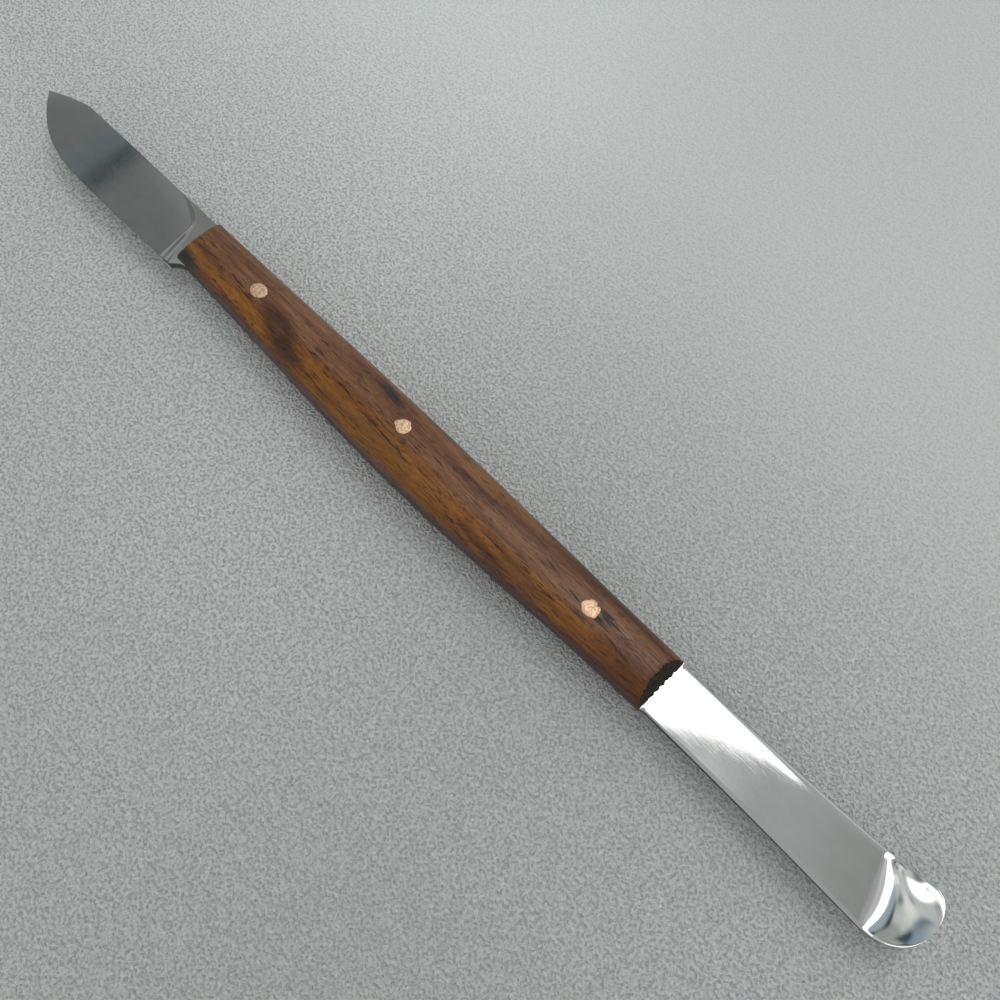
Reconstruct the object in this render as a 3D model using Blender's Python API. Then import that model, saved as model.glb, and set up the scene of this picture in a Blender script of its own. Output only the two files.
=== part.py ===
"""A double-ended dental wax knife.

One steel strip is the blade, the full tang and the spatula with its turned-up scoop. Two wooden scales
lie on the tang, held by three copper rivets. +X runs from the blade's tip to the scoop, +Y is the side
of the blade's spine, and Z = 0 is the surface that the handle's belly lies on. All sizes are in metres.
"""

import math

import bmesh
import bpy
from mathutils import Matrix

# Lengths along the knife, from the blade's tip
OVERALL_LENGTH = 0.175
BLADE_LENGTH = 0.0413
HANDLE_LENGTH = 0.0938
HANDLE_END = BLADE_LENGTH + HANDLE_LENGTH

# The handle is a spindle with a flattened oval section. It bulges towards the cutting edge's side.
# Half widths are given as (the spine's side, the cutting edge's side) of the rivets' line.
HANDLE_END_HALF = (0.00415, 0.0042)
HANDLE_MID_HALF = (0.0045, 0.0057)
HANDLE_END_DEPTH = 0.0068
HANDLE_MID_DEPTH = 0.0092
SWELL_POWER = 1.6
CROWN_FLATTENING = 0.00005  # taken off the crowns at the middle of the handle
CROWN_FLAT_WIDTH = 0.0026
SECTION_POWER = 2.4
SCALE_END_LEAN = 0.56  # the scales' end faces lean in by this much for each unit of height
GLUE_LINE = 0.0001

# Blade
TANG_THICKNESS = 0.0011
EDGE_DROP = 0.0060  # cutting edge below the rivets' line
SPINE_RISE = 0.0038  # spine above the rivets' line
SPINE_TAPER = 0.0002
TIP_RISE = 0.0010
CLIP_LENGTH = 0.0084
CLIP_POWER = 1.4
BELLY_LENGTH = 0.020
BELLY_POWER = 2.8
EDGE_THICKNESS = 0.00012
GRIND_SLOPE = 0.05  # half thickness gained for each unit of height above the edge
HEEL_AT = 0.0415
HEEL_RISE = 0.0004
HEEL_LENGTH = 0.0026
HEEL_POWER = 2.2
TANG_BLEND = 0.001

# The plunge, where the blade's grind stops in front of the handle
PLUNGE_FROM = 0.027
PLUNGE_SLANT = 0.0040
PLUNGE_SWEEP = 0.0090
PLUNGE_SWEEP_POWER = 9
PLUNGE_WIDTH = 0.0032  # at the edge
PLUNGE_NARROWING = 0.0038  # from the edge to the spine, down to the least width
PLUNGE_LEAST_WIDTH = 0.0005

# Spatula and its turned-up scoop, whose end is fuller on the spine's side
SHANK_HALF_WIDTH = 0.0040
SHANK_BLEND = 0.002
SHANK_FLARE_POWER = 2.4
SHANK_EDGE_POWER = 12
BEND_FROM = 0.164
BEND_AT = 0.1674
BEND_SKEW = 0.30
BEND_LENGTH = 0.0085  # past the bend, the slope levels off
BEND_SLOPE = 0.38
SPATULA_BEND_HALF = 0.00035  # half thickness at the bend
SPATULA_EDGE_HALF = 0.00014
SCOOP_HALF = (0.00485, 0.00445)
SCOOP_ROUND_LENGTH = (0.0034, 0.0056)
SCOOP_ROUND_POWER = (2.5, 2.2)
SCOOP_TIP_RISE = 0.0007
SCOOP_DISH = 0.0006
SCOOP_CURL_POWER = 2.5
SCOOP_CURL_LENGTH = 0.0055
SCOOP_RIM_HALF = 0.00028

# Rivets
RIVET_DIAMETER = 0.0023
RIVET_CLEARANCE = 0.0001
RIVET_RECESS = 0.00002  # each end lies this far under the wood's crown
RIVET_SIDES = 32
RIVETS = {  # distance from the handle's blade end
    "rivet_blade_end": 0.0154,
    "rivet_middle": 0.0464,
    "rivet_spatula_end": 0.0812,
}

# Mesh fineness
STEEL_ACROSS = 12
SCALE_SIDE_POINTS = 8
SCALE_STATIONS = 33
END_ROUND_STATIONS = 11
LEAST_HALF_WIDTH = 0.00005  # of the steel's end sections, where its outline closes
STRIP_SHARP_ANGLE = math.radians(30)
RIVET_SHARP_ANGLE = math.radians(40)

MIDDLE = OVERALL_LENGTH / 2
TANG_HALF = TANG_THICKNESS / 2
SCALE_BASE = TANG_HALF + GLUE_LINE
SPINE_SIDE, EDGE_SIDE = 0, 1
AXIS_Y = (EDGE_DROP - SCOOP_HALF[SPINE_SIDE]) / 2  # centres the whole outline on Y = 0
AXIS_Z = HANDLE_MID_DEPTH / 2 - CROWN_FLATTENING


def smooth(low, high, x):
    """0 below low, 1 above high and an S-curve between."""
    t = min(1.0, max(0.0, (x - low) / (high - low)))
    return t * t * (3 - 2 * t)


def spread(low, high, count, power=1.0):
    """Count values from low to just before high, closer together near low when power is over 1."""
    return [low + (high - low) * (i / count) ** power for i in range(count)]


# The handle's spindle


def swell(s):
    """0 at the handle's ends and 1 at its middle."""
    t = (s - BLADE_LENGTH) / HANDLE_LENGTH
    return math.sin(math.pi * min(1.0, max(0.0, t))) ** SWELL_POWER


def handle_half_width(s, side):
    return HANDLE_END_HALF[side] + (HANDLE_MID_HALF[side] - HANDLE_END_HALF[side]) * swell(s)


def handle_half_depth(s):
    """Height of the crown over the tang's middle plane, with the very middle filed flat."""
    depth = (HANDLE_END_DEPTH + (HANDLE_MID_DEPTH - HANDLE_END_DEPTH) * swell(s)) / 2
    return min(depth, AXIS_Z)


def tang_half_width(s, side):
    """Half width of the tang, flush with the wood's side where they meet."""
    share_up = SCALE_BASE / handle_half_depth(s)
    return handle_half_width(s, side) * (1 - share_up**SECTION_POWER) ** (1 / SECTION_POWER)


# The steel strip's outline


def upper_edge(s):
    """The outline on the spine's side, measured from the rivets' line."""
    if s < BLADE_LENGTH:
        spine = SPINE_RISE - SPINE_TAPER * (1 - s / BLADE_LENGTH)
        return TIP_RISE + (spine - TIP_RISE) * (1 - (1 - min(1.0, s / CLIP_LENGTH)) ** CLIP_POWER)
    if s < HANDLE_END:
        tang = tang_half_width(s, SPINE_SIDE)
        return SPINE_RISE + (tang - SPINE_RISE) * smooth(0, TANG_BLEND, s - BLADE_LENGTH)
    return SCOOP_TIP_RISE + spatula_reach(s, SPINE_SIDE)


def lower_edge(s):
    """The outline on the cutting edge's side: belly, edge, heel, tang and spatula."""
    if s < BELLY_LENGTH:
        return TIP_RISE - (TIP_RISE + EDGE_DROP) * (1 - (1 - s / BELLY_LENGTH) ** BELLY_POWER)
    if s < HANDLE_END:
        tang = -tang_half_width(s, EDGE_SIDE)
        edge = HEEL_RISE * ((s - BELLY_LENGTH) / (HEEL_AT - BELLY_LENGTH)) ** 2 - EDGE_DROP
        past_heel = min(1.0, max(0.0, (s - HEEL_AT) / HEEL_LENGTH))
        return edge + (tang - edge) * (1 - (1 - past_heel) ** HEEL_POWER)
    return SCOOP_TIP_RISE - spatula_reach(s, EDGE_SIDE)


def spatula_reach(s, side):
    """How far the spatula reaches to one side of the scoop's foremost point."""
    flare_length = OVERALL_LENGTH - SCOOP_ROUND_LENGTH[EDGE_SIDE] - HANDLE_END
    along = min(1.0, (s - HANDLE_END) / flare_length)
    half = SHANK_HALF_WIDTH + (SCOOP_HALF[side] - SHANK_HALF_WIDTH) * along**SHANK_FLARE_POWER
    past_handle = smooth(HANDLE_END, HANDLE_END + SHANK_BLEND, s)
    half += (tang_half_width(HANDLE_END, side) - SHANK_HALF_WIDTH) * (1 - past_handle)
    reach = half - SCOOP_TIP_RISE if side == SPINE_SIDE else half + SCOOP_TIP_RISE
    into_end = max(0.0, 1 - (OVERALL_LENGTH - s) / SCOOP_ROUND_LENGTH[side])
    power = SCOOP_ROUND_POWER[side]
    return reach * max(0.0, 1 - into_end**power) ** (1 / power)


# The steel strip's thickness and its bend


def past_plunge(s, y):
    """0 on the blade's grind and 1 behind it. The plunge curves forward towards the spine and narrows."""
    above_edge = (y + EDGE_DROP) / (SPINE_RISE + EDGE_DROP)
    sweep = PLUNGE_SLANT * above_edge + PLUNGE_SWEEP * above_edge**PLUNGE_SWEEP_POWER
    width = max(PLUNGE_LEAST_WIDTH, PLUNGE_WIDTH - PLUNGE_NARROWING * above_edge)
    return smooth(HEEL_AT - sweep - width, HEEL_AT - sweep, s)


def blade_half_thickness(s, y):
    """A flat grind from the spine to the edge, with a plunge at the ricasso."""
    above_edge = y - lower_edge(min(s, HEEL_AT))
    ground = min(TANG_HALF, EDGE_THICKNESS / 2 + GRIND_SLOPE * above_edge)
    return ground + (TANG_HALF - ground) * past_plunge(s, y)


def spatula_half_thickness(s, across):
    """Thins towards the scoop, with rounded long edges. across runs from -1 to 1."""
    middle = TANG_HALF + (SPATULA_BEND_HALF - TANG_HALF) * smooth(HANDLE_END, BEND_AT, s)
    middle += (SCOOP_RIM_HALF - SPATULA_BEND_HALF) * smooth(BEND_AT, OVERALL_LENGTH, s)
    past_handle = smooth(HANDLE_END, HANDLE_END + SHANK_BLEND, s)
    edge = TANG_HALF + (SPATULA_EDGE_HALF - TANG_HALF) * past_handle
    return edge + (middle - edge) * math.sqrt(1 - abs(across) ** SHANK_EDGE_POWER)


def bend_height(s, y):
    """How far the strip's middle plane has risen: the bend turns up and its sides curl into a dish."""
    past_bend = max(0.0, s - BEND_AT + BEND_SKEW * y)
    share = min(1.0, past_bend / BEND_LENGTH)
    curl = abs(y / SCOOP_HALF[SPINE_SIDE]) ** SCOOP_CURL_POWER * smooth(0, SCOOP_CURL_LENGTH, past_bend)
    return BEND_SLOPE * BEND_LENGTH * share**2 * (1 - share / 3) + SCOOP_DISH * curl


def steel_section(s):
    """One closed section across the strip: its upper face from spine to edge, then its lower face back."""
    high, low = upper_edge(s), lower_edge(s)
    centre = (high + low) / 2
    half_width = max(LEAST_HALF_WIDTH, (high - low) / 2)
    faces = [], []
    for i in range(STEEL_ACROSS):
        across = math.cos(math.pi * i / (STEEL_ACROSS - 1))
        y = centre + half_width * across
        if s < HANDLE_END:
            half = blade_half_thickness(s, y)
        else:
            half = spatula_half_thickness(s, across)
        height = bend_height(s, y)
        faces[0].append((s - MIDDLE, y, height + half))
        faces[1].append((s - MIDDLE, y, height - half))
    return faces[0] + faces[1][::-1]


def steel_stations():
    """Distances from the tip at which the strip's sections stand, close together where its shape turns."""
    heel_end = HEEL_AT + HEEL_LENGTH
    shank_from = HANDLE_END + SHANK_BLEND
    round_length = SCOOP_ROUND_LENGTH[EDGE_SIDE]
    end_round = OVERALL_LENGTH - round_length
    stations = spread(0, BELLY_LENGTH, 15, 1.5) + spread(BELLY_LENGTH, PLUNGE_FROM, 2)
    stations += spread(PLUNGE_FROM, HEEL_AT, 16) + spread(HEEL_AT, heel_end, 8)
    stations += spread(heel_end, HANDLE_END, 30) + spread(HANDLE_END, shank_from, 3)
    stations += spread(shank_from, BEND_FROM, 9) + spread(BEND_FROM, end_round, 8)
    quarter_turns = [math.pi / 2 * i / END_ROUND_STATIONS for i in range(END_ROUND_STATIONS + 1)]
    return stations + [end_round + round_length * math.sin(turn) for turn in quarter_turns]


# The wooden scales


def scale_side(s, side):
    """Distance out and height of the points from a scale's foot up to its flat crown, on one side."""
    half_width, half_depth = handle_half_width(s, side), handle_half_depth(s)
    foot = math.asin((SCALE_BASE / half_depth) ** (SECTION_POWER / 2))
    crown = math.acos((CROWN_FLAT_WIDTH / 2 / half_width) ** (SECTION_POWER / 2))
    crown_height = half_depth * math.sin(crown) ** (2 / SECTION_POWER)
    points = []
    for i in range(SCALE_SIDE_POINTS):
        up = i / (SCALE_SIDE_POINTS - 1)
        angle = foot + (crown - foot) * up
        lift = 1 + (half_depth / crown_height - 1) * up
        out = half_width * math.cos(angle) ** (2 / SECTION_POWER)
        points.append((out, half_depth * math.sin(angle) ** (2 / SECTION_POWER) * lift))
    return points


def scale_section(s):
    """One closed section of a scale: up its outside, over the flat crown, and down to the tang again."""
    outline = scale_side(s, SPINE_SIDE) + [(-out, z) for out, z in reversed(scale_side(s, EDGE_SIDE))]
    handle_middle = BLADE_LENGTH + HANDLE_LENGTH / 2
    points = []
    for y, z in outline:
        lean = 1 - SCALE_END_LEAN * (z - SCALE_BASE) / (HANDLE_LENGTH / 2)
        points.append((handle_middle - MIDDLE + (s - handle_middle) * lean, y, z))
    return points


# Blender objects


def new_material(name, colour, metallic, roughness):
    material = bpy.data.materials.new(name)
    material.use_nodes = True
    shader = material.node_tree.nodes["Principled BSDF"]
    shader.inputs["Base Color"].default_value = (*colour, 1)
    shader.inputs["Metallic"].default_value = metallic
    shader.inputs["Roughness"].default_value = roughness
    return material


def lofted_mesh(name, sections):
    """A closed mesh through sections with equal numbers of points, with a cap at each end."""
    made = bmesh.new()
    rings = [[made.verts.new(point) for point in section] for section in sections]
    for ring, following in zip(rings, rings[1:]):
        for i in range(len(ring)):
            made.faces.new((ring[i - 1], ring[i], following[i], following[i - 1]))
    made.faces.new(rings[0])
    made.faces.new(rings[-1])
    bmesh.ops.recalc_face_normals(made, faces=made.faces)
    mesh = bpy.data.meshes.new(name)
    made.to_mesh(mesh)
    made.free()
    mesh.shade_smooth()
    mesh.set_sharp_from_angle(angle=STRIP_SHARP_ANGLE)
    return mesh


def mirrored(mesh):
    """A copy of a mesh on the other side of the tang."""
    copy = mesh.copy()
    copy.transform(Matrix.Diagonal((1, 1, -1, 1)))
    copy.flip_normals()
    return copy


def add_object(name, mesh, collection, parent, material=None):
    made = bpy.data.objects.new(name, mesh)
    made.parent = parent
    if material:
        mesh.materials.clear()
        mesh.materials.append(material)
    collection.objects.link(made)
    return made


def add_cylinder(name, radius, length, place, collection, parent):
    """A cylinder standing along Z, centred at place in its parent's frame."""
    bpy.ops.mesh.primitive_cylinder_add(vertices=RIVET_SIDES, radius=radius, depth=length)
    made = bpy.context.object
    made.name = name
    made.parent = parent
    made.location = place
    for owner in list(made.users_collection):
        owner.objects.unlink(made)
    collection.objects.link(made)
    made.data.shade_smooth()
    made.data.set_sharp_from_angle(angle=RIVET_SHARP_ANGLE)
    return made


def cut(target, cutter):
    modifier = target.modifiers.new("hole for " + cutter.name, "BOOLEAN")
    modifier.operation = "DIFFERENCE"
    modifier.solver = "EXACT"
    modifier.object = cutter


def main():
    for left_over in list(bpy.data.objects):
        bpy.data.objects.remove(left_over)
    parts = bpy.data.collections.new("wax_knife")
    cutters = bpy.data.collections.new("cutters")
    for collection in (parts, cutters):
        bpy.context.scene.collection.children.link(collection)

    steel = new_material("steel", (0.62, 0.62, 0.61), 1.0, 0.12)
    wood = new_material("wood", (0.16, 0.07, 0.035), 0.0, 0.38)
    copper = new_material("copper", (0.86, 0.58, 0.44), 1.0, 0.35)

    knife = add_object("handle_axis", None, parts, None)
    knife.location = (0, AXIS_Y, AXIS_Z)

    strip_mesh = lofted_mesh("steel_strip", [steel_section(s) for s in steel_stations()])
    strip = add_object("steel_blade_and_spatula", strip_mesh, parts, knife, steel)

    scale_places = spread(BLADE_LENGTH, HANDLE_END, SCALE_STATIONS - 1) + [HANDLE_END]
    scale_mesh = lofted_mesh("scale", [scale_section(s) for s in scale_places])
    upper = add_object("upper_scale", scale_mesh, parts, knife, wood)
    lower = add_object("lower_scale", mirrored(scale_mesh), parts, knife, wood)

    for name, along in RIVETS.items():
        s = BLADE_LENGTH + along
        length = 2 * (handle_half_depth(s) - RIVET_RECESS)
        place = (s - MIDDLE, 0, 0)
        rivet = add_cylinder(name, RIVET_DIAMETER / 2, length, place, parts, knife)
        rivet.data.materials.append(copper)
        hole = add_cylinder(
            name + "_hole", RIVET_DIAMETER / 2 + RIVET_CLEARANCE, 2 * HANDLE_MID_DEPTH, place, cutters, knife
        )
        hole.hide_render = True
        hole.display_type = "WIRE"
        for target in (strip, upper, lower):
            cut(target, hole)


main()
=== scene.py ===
import math

import bmesh
import bpy
from mathutils import Matrix, Vector
from mathutils.noise import noise as smooth_noise


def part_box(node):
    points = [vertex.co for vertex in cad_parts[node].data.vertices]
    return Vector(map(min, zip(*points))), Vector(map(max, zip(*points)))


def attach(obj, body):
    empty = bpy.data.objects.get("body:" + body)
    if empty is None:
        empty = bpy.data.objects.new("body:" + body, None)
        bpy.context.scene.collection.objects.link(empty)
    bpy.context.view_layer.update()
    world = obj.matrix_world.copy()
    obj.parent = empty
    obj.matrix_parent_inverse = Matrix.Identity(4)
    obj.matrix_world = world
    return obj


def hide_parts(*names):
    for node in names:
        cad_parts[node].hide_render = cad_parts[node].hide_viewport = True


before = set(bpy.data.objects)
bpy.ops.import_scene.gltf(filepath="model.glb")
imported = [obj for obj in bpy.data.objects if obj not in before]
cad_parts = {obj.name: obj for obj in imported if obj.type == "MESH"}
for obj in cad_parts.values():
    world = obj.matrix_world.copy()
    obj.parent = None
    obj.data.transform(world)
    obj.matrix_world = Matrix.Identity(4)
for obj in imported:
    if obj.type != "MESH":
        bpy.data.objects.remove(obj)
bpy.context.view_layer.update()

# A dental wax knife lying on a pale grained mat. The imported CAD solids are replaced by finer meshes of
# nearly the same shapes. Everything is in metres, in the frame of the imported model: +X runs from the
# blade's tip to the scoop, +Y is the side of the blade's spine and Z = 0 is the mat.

MM = 0.001

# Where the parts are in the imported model
STEEL_LOW, STEEL_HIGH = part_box("steel_blade_and_spatula")
SCALE_LOW, SCALE_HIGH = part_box("upper_scale")
RIVET_LOW, RIVET_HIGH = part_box("rivet_middle")
TIP_X = STEEL_LOW.x
OVERALL_LENGTH = STEEL_HIGH.x - STEEL_LOW.x
BLADE_LENGTH = SCALE_LOW.x - TIP_X
HANDLE_LENGTH = SCALE_HIGH.x - SCALE_LOW.x
HANDLE_END = BLADE_LENGTH + HANDLE_LENGTH
HANDLE_MIDDLE = BLADE_LENGTH + HANDLE_LENGTH / 2
AXIS_Y = (RIVET_LOW.y + RIVET_HIGH.y) / 2
AXIS_Z = (RIVET_LOW.z + RIVET_HIGH.z) / 2

# The handle's spindle. Half widths are (the spine's side, the cutting edge's side) of the rivets' line.
HANDLE_END_HALF = (0.00415, 0.0042)
HANDLE_MID_HALF = (0.0045, 0.0057)
HANDLE_END_DEPTH = 0.0068
HANDLE_MID_DEPTH = 0.0092
SWELL_POWER = 1.6
SECTION_POWER = 2.4
SCALE_END_LEAN = 0.56
GLUE_LINE = 0.0001

# Blade. TANG_HALF is half of the steel's thickness.
TANG_HALF = 0.00055
EDGE_DROP = 0.0060
SPINE_RISE = 0.0038
SPINE_TAPER = 0.0002
TIP_RISE = 0.0010
CLIP_LENGTH = 0.0084
CLIP_POWER = 1.4
BELLY_LENGTH = 0.020
BELLY_POWER = 2.8
EDGE_THICKNESS = 0.00012
GRIND_SLOPE = 0.05
HEEL_AT = 0.0415
HEEL_RISE = 0.0004
HEEL_LENGTH = 0.0026
HEEL_POWER = 2.2
TANG_BLEND = 0.001
PLUNGE_SLANT = 0.0040
PLUNGE_SWEEP = 0.0030
PLUNGE_SWEEP_POWER = 9
PLUNGE_WIDTH = 0.0032
PLUNGE_NARROWING = 0.0038
PLUNGE_LEAST_WIDTH = 0.0005
PLUNGE_FADE = 0.010  # it widens again near the spine, and fades out there
PLUNGE_FADE_FROM = 0.78  # as a share of the way from the edge to the spine

# Spatula and scoop
SHANK_HALF_WIDTH = 0.0040
SHANK_BLEND = 0.0006
SHANK_FLARE_POWER = 2.4
SHANK_EDGE_POWERS = (12, 30)  # how late the long edges round off: the spine's side, the other
BEND_AT = 0.1674
BEND_SKEW = 0.30
BEND_LENGTH = 0.0085
BEND_SLOPE = 0.38
SPATULA_BEND_HALF = 0.00035
SPATULA_EDGE_HALF = 0.00014
SCOOP_HALF = (0.00485, 0.00445)
SCOOP_ROUND_LENGTH = (0.0034, 0.0056)
SCOOP_ROUND_POWER = (2.5, 2.2)
SCOOP_TIP_RISE = 0.0007
SCOOP_DISH = 0.0006
SCOOP_CURL_POWER = 2.5
SCOOP_CURL_LENGTH = 0.0055
SCOOP_RIM_HALF = 0.00028

# Fineness of the meshes
STEEL_ACROSS = 60
END_ROUND_STEPS = 60
LEAST_HALF_WIDTH = 0.00005
SCALE_SIDE_POINTS = 26
SCALE_UNDER_POINTS = 44
SCALE_STATIONS = 300
SHARP_ANGLE = math.radians(30)

SCALE_BASE = TANG_HALF + GLUE_LINE
SPINE_SIDE, EDGE_SIDE = 0, 1


def smooth(low, high, x):
    """0 below low, 1 above high and an S-curve between."""
    t = min(1.0, max(0.0, (x - low) / (high - low)))
    return t * t * (3 - 2 * t)


def spread(low, high, count, power=1.0):
    """Count values from low to just before high, closer together near low when power is over 1."""
    return [low + (high - low) * (i / count) ** power for i in range(count)]


def place(s, y, z):
    """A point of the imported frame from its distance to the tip, and y and z from the rivets' centre."""
    return (TIP_X + s, AXIS_Y + y, AXIS_Z + z)


# ---------------------------------------------------------------- shape of the handle


def swell(s):
    """0 at the handle's ends and 1 at its middle."""
    t = (s - BLADE_LENGTH) / HANDLE_LENGTH
    return math.sin(math.pi * min(1.0, max(0.0, t))) ** SWELL_POWER


def handle_half_width(s, side):
    return HANDLE_END_HALF[side] + (HANDLE_MID_HALF[side] - HANDLE_END_HALF[side]) * swell(s)


def handle_half_depth(s):
    depth = (HANDLE_END_DEPTH + (HANDLE_MID_DEPTH - HANDLE_END_DEPTH) * swell(s)) / 2
    return min(depth, AXIS_Z)


def wood_height(s, y):
    """Height of the handle's outside over the tang's middle plane."""
    side = SPINE_SIDE if y > 0 else EDGE_SIDE
    out = min(1.0, abs(y) / handle_half_width(s, side))
    return handle_half_depth(s) * (1 - out**SECTION_POWER) ** (1 / SECTION_POWER)


def tang_half_width(s, side):
    """Half width of the tang, flush with the wood's side where they meet."""
    share_up = SCALE_BASE / handle_half_depth(s)
    return handle_half_width(s, side) * (1 - share_up**SECTION_POWER) ** (1 / SECTION_POWER)


# ---------------------------------------------------------------- shape of the steel


def upper_edge(s):
    """The outline on the spine's side."""
    if s < BLADE_LENGTH:
        spine = SPINE_RISE - SPINE_TAPER * (1 - s / BLADE_LENGTH)
        return TIP_RISE + (spine - TIP_RISE) * (1 - (1 - min(1.0, s / CLIP_LENGTH)) ** CLIP_POWER)
    if s < HANDLE_END:
        tang = tang_half_width(s, SPINE_SIDE)
        return SPINE_RISE + (tang - SPINE_RISE) * smooth(0, TANG_BLEND, s - BLADE_LENGTH)
    return SCOOP_TIP_RISE + spatula_reach(s, SPINE_SIDE)


def lower_edge(s):
    """The outline on the cutting edge's side."""
    if s < BELLY_LENGTH:
        return TIP_RISE - (TIP_RISE + EDGE_DROP) * (1 - (1 - s / BELLY_LENGTH) ** BELLY_POWER)
    if s < HANDLE_END:
        tang = -tang_half_width(s, EDGE_SIDE)
        edge = HEEL_RISE * ((s - BELLY_LENGTH) / (HEEL_AT - BELLY_LENGTH)) ** 2 - EDGE_DROP
        past_heel = min(1.0, max(0.0, (s - HEEL_AT) / HEEL_LENGTH))
        return edge + (tang - edge) * (1 - (1 - past_heel) ** HEEL_POWER)
    return SCOOP_TIP_RISE - spatula_reach(s, EDGE_SIDE)


def spatula_reach(s, side):
    """How far the spatula reaches to one side of the scoop's foremost point."""
    flare_length = OVERALL_LENGTH - SCOOP_ROUND_LENGTH[EDGE_SIDE] - HANDLE_END
    along = min(1.0, (s - HANDLE_END) / flare_length)
    half = SHANK_HALF_WIDTH + (SCOOP_HALF[side] - SHANK_HALF_WIDTH) * along**SHANK_FLARE_POWER
    past_handle = smooth(HANDLE_END, HANDLE_END + SHANK_BLEND, s)
    half += (tang_half_width(HANDLE_END, side) - SHANK_HALF_WIDTH) * (1 - past_handle)
    reach = half - SCOOP_TIP_RISE if side == SPINE_SIDE else half + SCOOP_TIP_RISE
    into_end = min(1.0, max(0.0, 1 - (OVERALL_LENGTH - s) / SCOOP_ROUND_LENGTH[side]))
    power = SCOOP_ROUND_POWER[side]
    return reach * max(0.0, 1 - into_end**power) ** (1 / power)


def past_plunge(s, y):
    """0 on the blade's grind, 1 behind it. The plunge between curves forward towards the spine."""
    above_edge = (y + EDGE_DROP) / (SPINE_RISE + EDGE_DROP)
    sweep = PLUNGE_SLANT * above_edge + PLUNGE_SWEEP * above_edge**PLUNGE_SWEEP_POWER
    width = max(PLUNGE_LEAST_WIDTH, PLUNGE_WIDTH - PLUNGE_NARROWING * above_edge)
    width += PLUNGE_FADE * max(0.0, above_edge - PLUNGE_FADE_FROM)
    return smooth(HEEL_AT - sweep - width, HEEL_AT - sweep, s)


def blade_half_thickness(s, y):
    """A flat grind from the spine to the edge, with a plunge at the ricasso."""
    above_edge = y - lower_edge(min(s, HEEL_AT))
    ground = min(TANG_HALF, EDGE_THICKNESS / 2 + GRIND_SLOPE * above_edge)
    return ground + (TANG_HALF - ground) * past_plunge(s, y)


def spatula_half_thickness(s, across):
    """Thins towards the scoop, with rounded long edges. across runs from -1 to 1."""
    middle = TANG_HALF + (SPATULA_BEND_HALF - TANG_HALF) * smooth(HANDLE_END, BEND_AT, s)
    middle += (SCOOP_RIM_HALF - SPATULA_BEND_HALF) * smooth(BEND_AT, OVERALL_LENGTH, s)
    past_handle = smooth(HANDLE_END, HANDLE_END + SHANK_BLEND, s)
    edge = TANG_HALF + (SPATULA_EDGE_HALF - TANG_HALF) * past_handle
    power = SHANK_EDGE_POWERS[SPINE_SIDE if across > 0 else EDGE_SIDE]
    return edge + (middle - edge) * math.sqrt(1 - min(1.0, abs(across)) ** power)


def bend_height(s, y):
    """How far the strip's middle plane has risen: the bend turns up and its sides curl into a dish."""
    past_bend = max(0.0, s - BEND_AT + BEND_SKEW * y)
    share = min(1.0, past_bend / BEND_LENGTH)
    curl = abs(y / SCOOP_HALF[SPINE_SIDE]) ** SCOOP_CURL_POWER * smooth(0, SCOOP_CURL_LENGTH, past_bend)
    return BEND_SLOPE * BEND_LENGTH * share**2 * (1 - share / 3) + SCOOP_DISH * curl


def steel_section(s):
    """One closed section across the strip: the upper face from spine to edge, then the lower one back."""
    high, low = upper_edge(s), lower_edge(s)
    centre = (high + low) / 2
    half_width = max(LEAST_HALF_WIDTH, (high - low) / 2)
    upper, lower = [], []
    for i in range(STEEL_ACROSS):
        across = math.cos(math.pi * i / (STEEL_ACROSS - 1))
        y = centre + half_width * across
        half = blade_half_thickness(s, y) if s < HANDLE_END else spatula_half_thickness(s, across)
        height = bend_height(s, y)
        upper.append(place(s, y, height + half))
        lower.append(place(s, y, height - half))
    return upper + lower[::-1]


def steel_stations():
    """Distances from the tip of the strip's sections, close together where its shape turns."""
    heel_end = HEEL_AT + HEEL_LENGTH
    round_length = SCOOP_ROUND_LENGTH[EDGE_SIDE]
    end_round = OVERALL_LENGTH - round_length
    stations = spread(0, BELLY_LENGTH, 120, 1.4) + spread(BELLY_LENGTH, 0.030, 30)
    stations += spread(0.030, heel_end, 150) + spread(heel_end, HANDLE_END, 90)
    stations += spread(HANDLE_END, BEND_AT - 0.004, 120, 1.4) + spread(BEND_AT - 0.004, end_round, 80)
    turns = [math.pi / 2 * i / END_ROUND_STEPS for i in range(END_ROUND_STEPS + 1)]
    return stations + [end_round + round_length * math.sin(turn) for turn in turns]


# ---------------------------------------------------------------- meshes


def mesh_of(name, points, faces):
    """A mesh with outward normals, smooth but for its sharp edges."""
    made = bmesh.new()
    corners = [made.verts.new(point) for point in points]
    for face in faces:
        made.faces.new([corners[i] for i in face])
    bmesh.ops.recalc_face_normals(made, faces=made.faces)
    mesh = bpy.data.meshes.new(name)
    made.to_mesh(mesh)
    made.free()
    mesh.shade_smooth()
    mesh.set_sharp_from_angle(angle=SHARP_ANGLE)
    return mesh


def ring_faces(rings, around):
    """Quads between rings of points, which follow each other in the list of points."""
    faces = []
    for ring in range(rings - 1):
        start = ring * around
        for i in range(around):
            following = (i + 1) % around
            faces.append((start + i, start + following, start + around + following, start + around + i))
    return faces


def lofted(name, sections):
    """A closed mesh through sections, which may shrink to one point's ring at either end."""
    around = len(sections[0])
    points = [point for section in sections for point in section]
    last = len(points) - around
    faces = ring_faces(len(sections), around)
    faces += [tuple(range(around)), tuple(range(last, last + around))]
    return mesh_of(name, points, faces)


def add_piece(name, mesh, replaced, materials):
    piece = bpy.data.objects.new(name, mesh)
    bpy.context.scene.collection.objects.link(piece)
    for material in materials:
        mesh.materials.append(material)
    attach(piece, "root")
    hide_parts(replaced)
    return piece


# ---------------------------------------------------------------- wooden scales

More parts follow.
